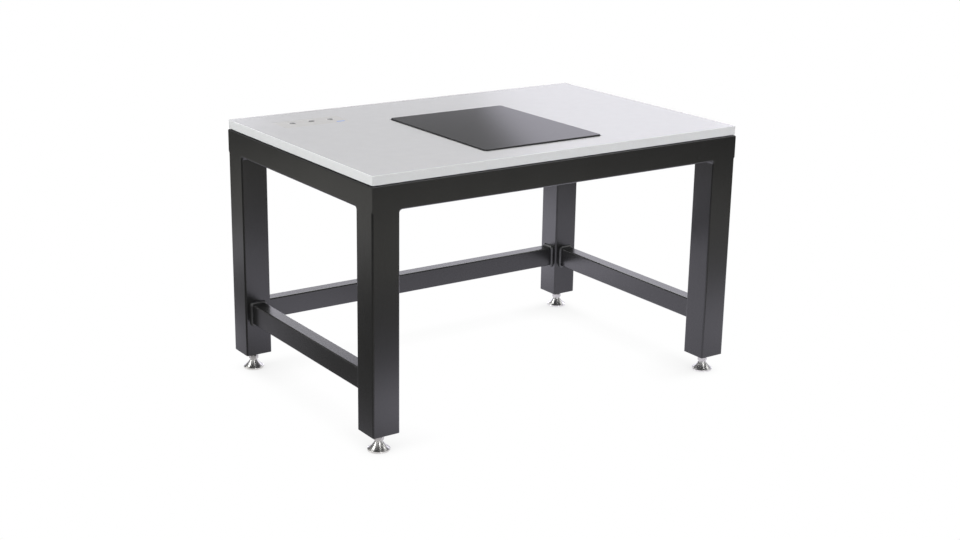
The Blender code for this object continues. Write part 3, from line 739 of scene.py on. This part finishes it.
def spindle_rows(z_top):
    n = 72
    flats, z0, z1 = 0.024, 0.0273, 0.0393
    bevel = 0.0012

    def hexagon(limit, z):
        pts = []
        for i in range(n):
            a = 2 * math.pi * i / n
            off = (a + math.pi / 6) % (math.pi / 3) - math.pi / 6
            k = min(flats / 2 / math.cos(off), limit)
            pts.append((k * math.cos(a), k * math.sin(a), z))
        return pts
    corner = flats / 2 / math.cos(math.pi / 6)

    def ring(r, z):
        return [(x, y, z) for x, y in circle(r, n)]
    rows = [ring(0.0037, 0.0123), ring(0.0062, 0.016), ring(0.0062, z0),
            hexagon(flats / 2 - 0.0002, z0), hexagon(corner - 0.0004, z0 + bevel),
            hexagon(corner, z0 + bevel * 1.3), hexagon(corner, z1 - bevel * 1.3),
            hexagon(corner - 0.0004, z1 - bevel), hexagon(flats / 2 - 0.0002, z1),
            ring(0.0078, z1), ring(0.0070, z1 + 0.0006)]
    rows += thread_row(n, z1 + 0.0010, z_top - 0.002, 0.0080, 0.0020, 0.00115, 10)
    rows += [ring(0.0066, z_top - 0.0006), ring(0.0058, z_top)]
    return rows


for label, sx, sy in CORNERS:
    low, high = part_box("foot_base_" + label)
    cx, cy = (low.x + high.x) / 2, (low.y + high.y) / 2
    rows = [[(cx + x, cy + y, low.z + z) for x, y in circle(r, 96)] for r, z in foot_profile()]
    piece("foot_bell_" + label, loft(rows), STEEL, body="foot_" + label,
          stands_for=("foot_base_" + label,), smooth=30, weigh=False)
    z_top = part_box("foot_spindle_" + label)[1].z
    rows = [moved(row, (cx, cy, 0)) for row in spindle_rows(z_top)]
    piece("foot_stud_" + label, loft(rows), THREAD, body="spindle_" + label,
          stands_for=("foot_spindle_" + label,), smooth=30, weigh=False)

# ---------------------------------------------------------- isolator soft pieces
def coil_rows(centre, mean_r, wire_r, turns, z0, z1, per_turn=30, sides=12):
    steps = int(turns * per_turn)
    bottom, top = z0 + wire_r, z1 - wire_r
    rise = (top - bottom) / (2 * math.pi * turns)
    rows = []
    for i in range(steps + 1):
        a = 2 * math.pi * turns * i / steps
        mid = Vector((centre[0] + mean_r * math.cos(a), centre[1] + mean_r * math.sin(a),
                      bottom + rise * a))
        out = Vector((math.cos(a), math.sin(a), 0.0))
        along = Vector((-mean_r * math.sin(a), mean_r * math.cos(a), rise)).normalized()
        up = along.cross(out)
        rows.append([tuple(mid + wire_r * (out * math.cos(t) + up * math.sin(t)))
                     for t in (2 * math.pi * k / sides for k in range(sides))])
    return rows


for label, sx, sy in CORNERS:
    low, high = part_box("isolator_spring_" + label)
    cup_low, cup_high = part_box("isolator_cup_" + label)
    cx, cy = (cup_low.x + cup_high.x) / 2, (cup_low.y + cup_high.y) / 2
    spring = piece("coil_spring_" + label,
                   loft(coil_rows((cx, cy), 0.017, 0.002, 4.5, low.z, high.z)), SPRING,
                   body=None, stands_for=("isolator_spring_" + label,),
                   smooth=60, weigh=False)
    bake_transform(spring)
    low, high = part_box("isolator_damper_" + label)
    rows = []
    tall = high.z - low.z
    for k in range(25):
        t = k / 24
        edge = min(t, 1 - t) * tall
        r = 0.010 - 0.0015 * math.sin(math.pi * t) ** 2
        r -= 0.0008 * max(0.0, 1 - edge / 0.0012) ** 2
        rows.append([(cx + x, cy + y, low.z + tall * t) for x, y in circle(r, 40)])
    damper = piece("elastomer_damper_" + label, loft(rows), DAMPER, body=None,
                   stands_for=("isolator_damper_" + label,),
                   smooth=50, weigh=False)
    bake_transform(damper)

# ------------------------------------------------------------ floor and lighting
def sum_of(tree, kind, a, b=None):
    """One math node on sockets or plain numbers."""
    node = tree.nodes.new("ShaderNodeMath")
    node.operation = kind
    for k, value in enumerate((a, b)):
        if isinstance(value, (int, float)):
            node.inputs[k].default_value = value
        elif value is not None:
            tree.links.new(value, node.inputs[k])
    return node.outputs[0]


def soft_step(tree, value, low, high):
    node = tree.nodes.new("ShaderNodeMapRange")
    node.interpolation_type = "SMOOTHSTEP"
    node.inputs["From Min"].default_value = low
    node.inputs["From Max"].default_value = high
    tree.links.new(value, node.inputs["Value"])
    return node.outputs["Result"]


def add_light(tree, running, shape, strength, name):
    """Adds a shaped light to a running sum, with its strength in one named node."""
    lit = sum_of(tree, "MULTIPLY", shape, strength)
    lit.node.name = name
    return lit if running is None else sum_of(tree, "ADD", running, lit)


def glow_node(tree, colour, strength):
    node = tree.nodes.new("ShaderNodeEmission")
    node.inputs["Color"].default_value = (*colour, 1.0)
    if isinstance(strength, (int, float)):
        node.inputs["Strength"].default_value = strength
    else:
        tree.links.new(strength, node.inputs["Strength"])
    return node.outputs[0]


def both(tree, a, b):
    node = tree.nodes.new("ShaderNodeAddShader")
    tree.links.new(a, node.inputs[0])
    tree.links.new(b, node.inputs[1])
    return node.outputs[0]


def seen_or_lit(tree, lit, seen):
    """What the camera sees directly, and what lights and reflects."""
    path = tree.nodes.new("ShaderNodeLightPath")
    pick = tree.nodes.new("ShaderNodeMixShader")
    tree.links.new(path.outputs["Is Camera Ray"], pick.inputs[0])
    tree.links.new(lit, pick.inputs[1])
    tree.links.new(seen, pick.inputs[2])
    return pick.outputs[0]


WARM, COOL = (1.0, 0.985, 0.905), (0.982, 0.957, 1.10)

# white floor: a lit sheet under the table and pools of light on and round it
# (x, y, half width x, half width y, strength)
FLOOR_FLAT = 0.10
SHEET = 0.02
POOLS = {
    "front_near": (-0.25, -0.68, 0.35, 0.18, 1.38), "front_right": (0.95, -0.75, 0.45, 0.25, 0.97),
    "front_far": (0.70, -2.10, 0.80, 0.45, 0.78), "right_far": (1.90, -1.70, 0.50, 0.50, 0.30),
    "under_left": (-0.25, -0.05, 0.22, 0.30, 1.31), "under_right": (0.35, 0.00, 0.30, 0.35, 0.87),
    "left_far": (-1.75, 1.25, 0.30, 0.30, 0.32), "left_back": (-1.20, 1.50, 0.20, 0.22, 0.63),
    "left_beyond": (-2.00, 2.10, 0.45, 0.45, 0.62), "left_side": (-1.55, 0.60, 0.30, 0.30, 0.00),
    "behind_left": (-0.45, 1.10, 0.18, 0.30, 0.98), "behind_near": (0.15, 0.75, 0.30, 0.25, 1.29),
    "behind": (0.00, 1.55, 0.40, 0.40, 2.03), "right": (1.40, 0.20, 0.50, 0.60, 1.37),
    "left_front": (-1.30, -1.20, 0.35, 0.50, 0.44),
    "rear_left_under": (-0.45, 0.72, 0.22, 0.22, 0.95), "front_mid": (-0.12, -1.10, 0.18, 0.15, 0.17)}
WARM_POOLS = ("front_far", "right_far", "left_far", "left_beyond", "left_front", "left_side")
FEET_POOLS = {"front_left": 0.60, "front_right": 0.40, "rear_left": 0.70, "rear_right": 0.30}
bm = bmesh.new()
bmesh.ops.create_grid(bm, x_segments=8, y_segments=8, size=30.0)
floor_mesh = bpy.data.meshes.new("studio_floor")
bm.to_mesh(floor_mesh)
bm.free()
floor = bpy.data.objects.new("studio_floor", floor_mesh)
scene.collection.objects.link(floor)
floor.location.z = -0.0002
floor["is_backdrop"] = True

floor_mat = bpy.data.materials.new("studio_white")
floor_mat.use_nodes = True
tree = floor_mat.node_tree
tree.nodes.clear()
place = tree.nodes.new("ShaderNodeSeparateXYZ")
tree.links.new(tree.nodes.new("ShaderNodeNewGeometry").outputs["Position"], place.inputs[0])
sheet = sum_of(tree, "MULTIPLY", soft_step(tree, place.outputs["X"], -0.82, -0.68),
               soft_step(tree, place.outputs["Y"], -1.50, -0.65))
for axis, start, end in (("X", 1.8, 2.4), ("Y", 2.2, 2.8)):
    sheet = sum_of(tree, "MULTIPLY", sheet,
                   sum_of(tree, "SUBTRACT", 1.0, soft_step(tree, place.outputs[axis], start, end)))


def pool_of(x, y, rx, ry):
    """Soft round patch of light on the floor."""
    dx = sum_of(tree, "DIVIDE", sum_of(tree, "SUBTRACT", place.outputs["X"], x), rx)
    dy = sum_of(tree, "DIVIDE", sum_of(tree, "SUBTRACT", place.outputs["Y"], y), ry)
    away = sum_of(tree, "ADD", sum_of(tree, "MULTIPLY", dx, dx), sum_of(tree, "MULTIPLY", dy, dy))
    return sum_of(tree, "EXPONENT", sum_of(tree, "MULTIPLY", away, -0.5))


cool = add_light(tree, None, sheet, SHEET, "pool_sheet")
warm = add_light(tree, None, 1.0, FLOOR_FLAT, "floor_flat")
for name, (x, y, rx, ry, strength) in POOLS.items():
    if name in WARM_POOLS:
        warm = add_light(tree, warm, pool_of(x, y, rx, ry), strength, "pool_" + name)
    else:
        cool = add_light(tree, cool, pool_of(x, y, rx, ry), strength, "pool_" + name)
for label, sx, sy in CORNERS:
    warm = add_light(tree, warm, pool_of(sx * LEG_X, sy * LEG_Y, 0.055, 0.055),
                     FEET_POOLS[label], "pool_foot_" + label)
lit = both(tree, glow_node(tree, WARM, warm), glow_node(tree, COOL, cool))
# contact shade, under the table only
near = tree.nodes.new("ShaderNodeAmbientOcclusion")
near.inputs["Distance"].default_value = 0.17
near.samples = 12
shade = remap(tree, near.outputs["AO"], 0.25, 1.0, 0.22, 0.0)
for axis, reach in (("X", HALF_W), ("Y", HALF_D)):
    off = sum_of(tree, "ABSOLUTE", place.outputs[axis])
    shade = sum_of(tree, "MULTIPLY", shade, sum_of(
        tree, "SUBTRACT", 1.0, soft_step(tree, off, reach - 0.05, reach + 0.03)))
# the camera looks through to the white backdrop, so feet screwed out below the
# floor's level stay in sight, as does the underside from below
glass = tree.nodes.new("ShaderNodeBsdfTransparent")
tree.links.new(sum_of(tree, "SUBTRACT", 1.0, shade), glass.inputs["Color"])
seen = glass.outputs[0]
below = tree.nodes.new("ShaderNodeMixShader")  # from below the floor is not there
tree.links.new(tree.nodes.new("ShaderNodeNewGeometry").outputs["Backfacing"], below.inputs[0])
tree.links.new(seen_or_lit(tree, lit, seen), below.inputs[1])
tree.links.new(tree.nodes.new("ShaderNodeBsdfTransparent").outputs[0], below.inputs[2])
out = tree.nodes.new("ShaderNodeOutputMaterial")
tree.links.new(below.outputs[0], out.inputs["Surface"])
floor_mesh.materials.append(floor_mat)

# white card behind the table, out of the camera's sight, its upper edge falling to the left
CARD_HEADING, CARD_AWAY = math.radians(50.0), 3.0
CARD = {"low_left": 3.00, "low_right": 1.36, "mid_left": 0.52, "mid_far_left": 2.47,
        "mid_right": 0.71, "mid_far_right": 2.45}
bm = bmesh.new()
bm.faces.new([bm.verts.new(p) for p in ((-3.5, 0.25, 0), (3.5, 0.25, 0), (3.5, 2.6, 0), (-3.5, 2.6, 0))])
card_mesh = bpy.data.meshes.new("studio_card")
bm.to_mesh(card_mesh)
bm.free()
card = bpy.data.objects.new("studio_card", card_mesh)
scene.collection.objects.link(card)
along = Vector((-math.sin(CARD_HEADING), math.cos(CARD_HEADING), 0.0))
rise = Vector((0.0, 0.0, 1.0))
card.matrix_world = Matrix.Translation(CARD_AWAY * Vector(
    (math.cos(CARD_HEADING), math.sin(CARD_HEADING), 0.0))) @ Matrix(
    (along, rise, along.cross(rise))).transposed().to_4x4()
card.visible_camera = False
card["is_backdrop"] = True
card_mat = bpy.data.materials.new("studio_card")
card_mat.use_nodes = True
tree = card_mat.node_tree
tree.nodes.clear()
place = tree.nodes.new("ShaderNodeSeparateXYZ")
tree.links.new(tree.nodes.new("ShaderNodeTexCoord").outputs["Object"], place.inputs[0])
side, tall = place.outputs["X"], place.outputs["Y"]
ramped = sum_of(tree, "MAXIMUM", sum_of(tree, "SUBTRACT", 0.32, side), 0.0)
edge = sum_of(tree, "MINIMUM", sum_of(tree, "ADD", sum_of(tree, "MULTIPLY", ramped, 1.1), 1.22), 2.4)
inside = soft_step(tree, sum_of(tree, "SUBTRACT", edge, tall), -0.10, 0.10)
upper = sum_of(tree, "MULTIPLY", inside, soft_step(tree, tall, 0.55, 0.75))
lower = sum_of(tree, "SUBTRACT", 1.0, soft_step(tree, tall, 0.55, 0.75))
left = soft_step(tree, side, 0.2, 0.5)
far_left = soft_step(tree, side, 1.2, 1.6)
far_right = sum_of(tree, "SUBTRACT", 1.0, soft_step(tree, side, -1.2, -0.8))
right_all = sum_of(tree, "SUBTRACT", 1.0, left)
level = None
for name, part in (("low_left", (lower, left)), ("low_right", (lower, right_all)),
                   ("mid_left", (upper, sum_of(tree, "SUBTRACT", left, far_left))),
                   ("mid_far_left", (upper, far_left)),
                   ("mid_right", (upper, sum_of(tree, "SUBTRACT", right_all, far_right))),
                   ("mid_far_right", (upper, far_right))):
    level = add_light(tree, level, sum_of(tree, "MULTIPLY", *part), CARD[name], "card_" + name)
level = sum_of(tree, "MULTIPLY", level, soft_step(tree, side, -2.8, -1.3))
level = sum_of(tree, "MULTIPLY", level, soft_step(tree, sum_of(tree, "SUBTRACT", 0.0, side), -3.4, -2.0))
clear = tree.nodes.new("ShaderNodeBsdfTransparent")
out = tree.nodes.new("ShaderNodeOutputMaterial")
tree.links.new(both(tree, glow_node(tree, COOL, level), clear.outputs[0]), out.inputs["Surface"])
card_mesh.materials.append(card_mat)

# soft boxes round the table (azimuth, elevation, radius in degrees, strength)
SKY_BASE = 0.23
SOFT_BOXES = {
    "left": (-170, 20, 26, 0.60), "front_left": (-135, 30, 20, 0.60),
    "back_right": (25, 35, 18, 0.00), "back": (60, 45, 18, 3.75), "back_left": (100, 35, 18, 0.00),
    "over": (0, 90, 30, 0.00)}
# narrow upright lights (azimuth, half width, lowest and highest elevation, strength)
STRIPS = {
    "left_back": (149, 8, 6, 56, 18.60), "front": (-96, 9, 4, 48, 10.45),
    "front_right": (-60, 10, 4, 48, 0.47), "right": (-9, 7, 4, 56, 1.50),
    "right_high": (-26, 8, 38, 62, 4.00), "behind": (55, 12, 17, 28, 0.80)}
COOL_STRIPS = ("behind",)
GLARE = ((1.5, 6.0), (28, 36))  # low and high, and the elevations between
world = bpy.data.worlds.new("studio")
scene.world = world
world.use_nodes = True
tree = world.node_tree
tree.nodes.clear()
look = tree.nodes.new("ShaderNodeTexCoord").outputs["Generated"]
level = None
for name, (turn, climb, radius, strength) in SOFT_BOXES.items():
    turn, climb = math.radians(turn), math.radians(climb)
    toward = tree.nodes.new("ShaderNodeVectorMath")
    toward.operation = "DOT_PRODUCT"
    tree.links.new(look, toward.inputs[0])
    toward.inputs[1].default_value = (math.cos(climb) * math.cos(turn),
                                      math.cos(climb) * math.sin(turn), math.sin(climb))
    disc = soft_step(tree, toward.outputs["Value"], math.cos(math.radians(radius + 4)),
                     math.cos(math.radians(radius - 4)))
    level = add_light(tree, level, disc, strength, "box_" + name)
split = tree.nodes.new("ShaderNodeSeparateXYZ")
tree.links.new(look, split.inputs[0])
azimuth = sum_of(tree, "ARCTAN2", split.outputs["Y"], split.outputs["X"])
height = sum_of(tree, "ARCSINE", split.outputs["Z"])


def band(value, start, end, soft):
    """1 between two angles in degrees, with soft edges."""
    start, end, soft = (math.radians(v) for v in (start, end, soft))
    return sum_of(tree, "MULTIPLY", soft_step(tree, value, start - soft, start + soft),
                  sum_of(tree, "SUBTRACT", 1.0, soft_step(tree, value, end - soft, end + soft)))


cool = None
for name, (turn, half, low, high, strength) in STRIPS.items():
    shape = sum_of(tree, "MULTIPLY", band(azimuth, turn - half, turn + half, 2), band(height, low, high, 3))
    if name in COOL_STRIPS:
        cool = add_light(tree, cool, shape, strength, "strip_" + name)
    else:
        level = add_light(tree, level, shape, strength, "strip_" + name)
level = sum_of(tree, "ADD", level, SKY_BASE)
level.node.name = "sky_base"
# the strong lights are flagged: in a mirror they show as a soft white, not as a glare
climbed = soft_step(tree, height, math.radians(GLARE[1][0]), math.radians(GLARE[1][1]))
flagged = sum_of(tree, "MINIMUM", level, remap(tree, climbed, 0.0, 1.0, *GLARE[0]))
mirror = tree.nodes.new("ShaderNodeMix")
mirror.data_type = "FLOAT"
tree.links.new(tree.nodes.new("ShaderNodeLightPath").outputs["Is Glossy Ray"], mirror.inputs["Factor"])
tree.links.new(level, mirror.inputs["A"])
tree.links.new(flagged, mirror.inputs["B"])
level = mirror.outputs["Result"]


def backdrop_node(strength, colour=(1.0, 1.0, 1.0)):
    node = tree.nodes.new("ShaderNodeBackground")
    node.inputs["Color"].default_value = (*colour, 1.0)
    if isinstance(strength, (int, float)):
        node.inputs["Strength"].default_value = strength
    else:
        tree.links.new(strength, node.inputs["Strength"])
    return node.outputs[0]


out = tree.nodes.new("ShaderNodeOutputWorld")
lit = both(tree, backdrop_node(level), backdrop_node(cool, COOL))
tree.links.new(seen_or_lit(tree, lit, backdrop_node(1.0)), out.inputs["Surface"])

# ---------------------------------------------------------------------- camera
IMAGE_W = 960.0
FOCAL_PX = 1548.0
HEADING, PITCH, ROLL = math.radians(55.354), math.radians(16.977), math.radians(-0.933)
EYE = Vector((-2.4555, -3.5513, 1.6217))
ahead = Vector((math.cos(HEADING) * math.cos(PITCH), math.sin(HEADING) * math.cos(PITCH),
                -math.sin(PITCH)))
right = ahead.cross(Vector((0, 0, 1))).normalized()
down = ahead.cross(right)
right_r = math.cos(ROLL) * right + math.sin(ROLL) * down
down_r = -math.sin(ROLL) * right + math.cos(ROLL) * down
camera_data = bpy.data.cameras.new("camera")
camera_data.sensor_fit = "HORIZONTAL"
camera_data.sensor_width = 36.0
camera_data.lens = FOCAL_PX / IMAGE_W * 36.0
camera_data.clip_end = 100.0
camera = bpy.data.objects.new("camera", camera_data)
scene.collection.objects.link(camera)
turn = Matrix((right_r, -down_r, -ahead)).transposed().to_4x4()
camera.matrix_world = Matrix.Translation(EYE) @ turn
scene.camera = camera
scene.view_settings.view_transform = "Standard"

# ------------------------------------------------------------------------ boxes
low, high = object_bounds()
